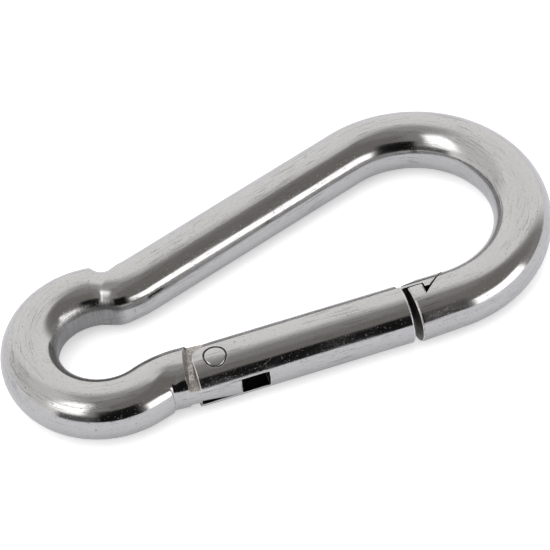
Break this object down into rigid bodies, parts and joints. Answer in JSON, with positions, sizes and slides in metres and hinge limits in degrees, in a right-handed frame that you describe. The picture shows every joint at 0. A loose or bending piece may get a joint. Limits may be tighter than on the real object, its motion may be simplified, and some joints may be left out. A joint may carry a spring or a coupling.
{
  "type": "carbine hook",
  "caption": "Pear-shaped carbine hook bent from round bar, with a pressed eye and a sprung hinged gate whose barbed tongue latches in the notched nose.",
  "frame": {"origin": "centre of the eye, at mid-thickness of the bar", "axes": "+X along the load axis from the eye to the bow, +Y towards the closed spine side, +Z square to the flat of the hook"},
  "size_m": [0.0999, 0.048, 0.01],
  "materials": {
    "polished_steel": "polished",
    "rivet_steel": "polished",
    "spring_steel": "satin"
  },
  "bodies": {
    "hook": {"hook_body": "polished_steel"},
    "gate": {"gate": "polished_steel", "hinge_rivet": "rivet_steel", "spring": "spring_steel"},
    "plunger": {"plunger": "spring_steel"}
  },
  "joints": [
    {"name": "gate_hinge", "type": "hinge", "parent": "hook", "child": "gate", "pos_m": [0.01468, -0.01375, 0], "axis": [0, 0, 1], "range_deg": [0, 34]},
    {"name": "plunger_slide", "type": "slide", "parent": "gate", "child": "plunger", "axis": [0.9907, -0.1357, 0], "range_m": [0, 0.0012], "deforming": ["spring"]}
  ],
  "couplings": [
    {"joint": "plunger_slide", "follows": "gate_hinge", "m_per_rad": 0.002}
  ]
}
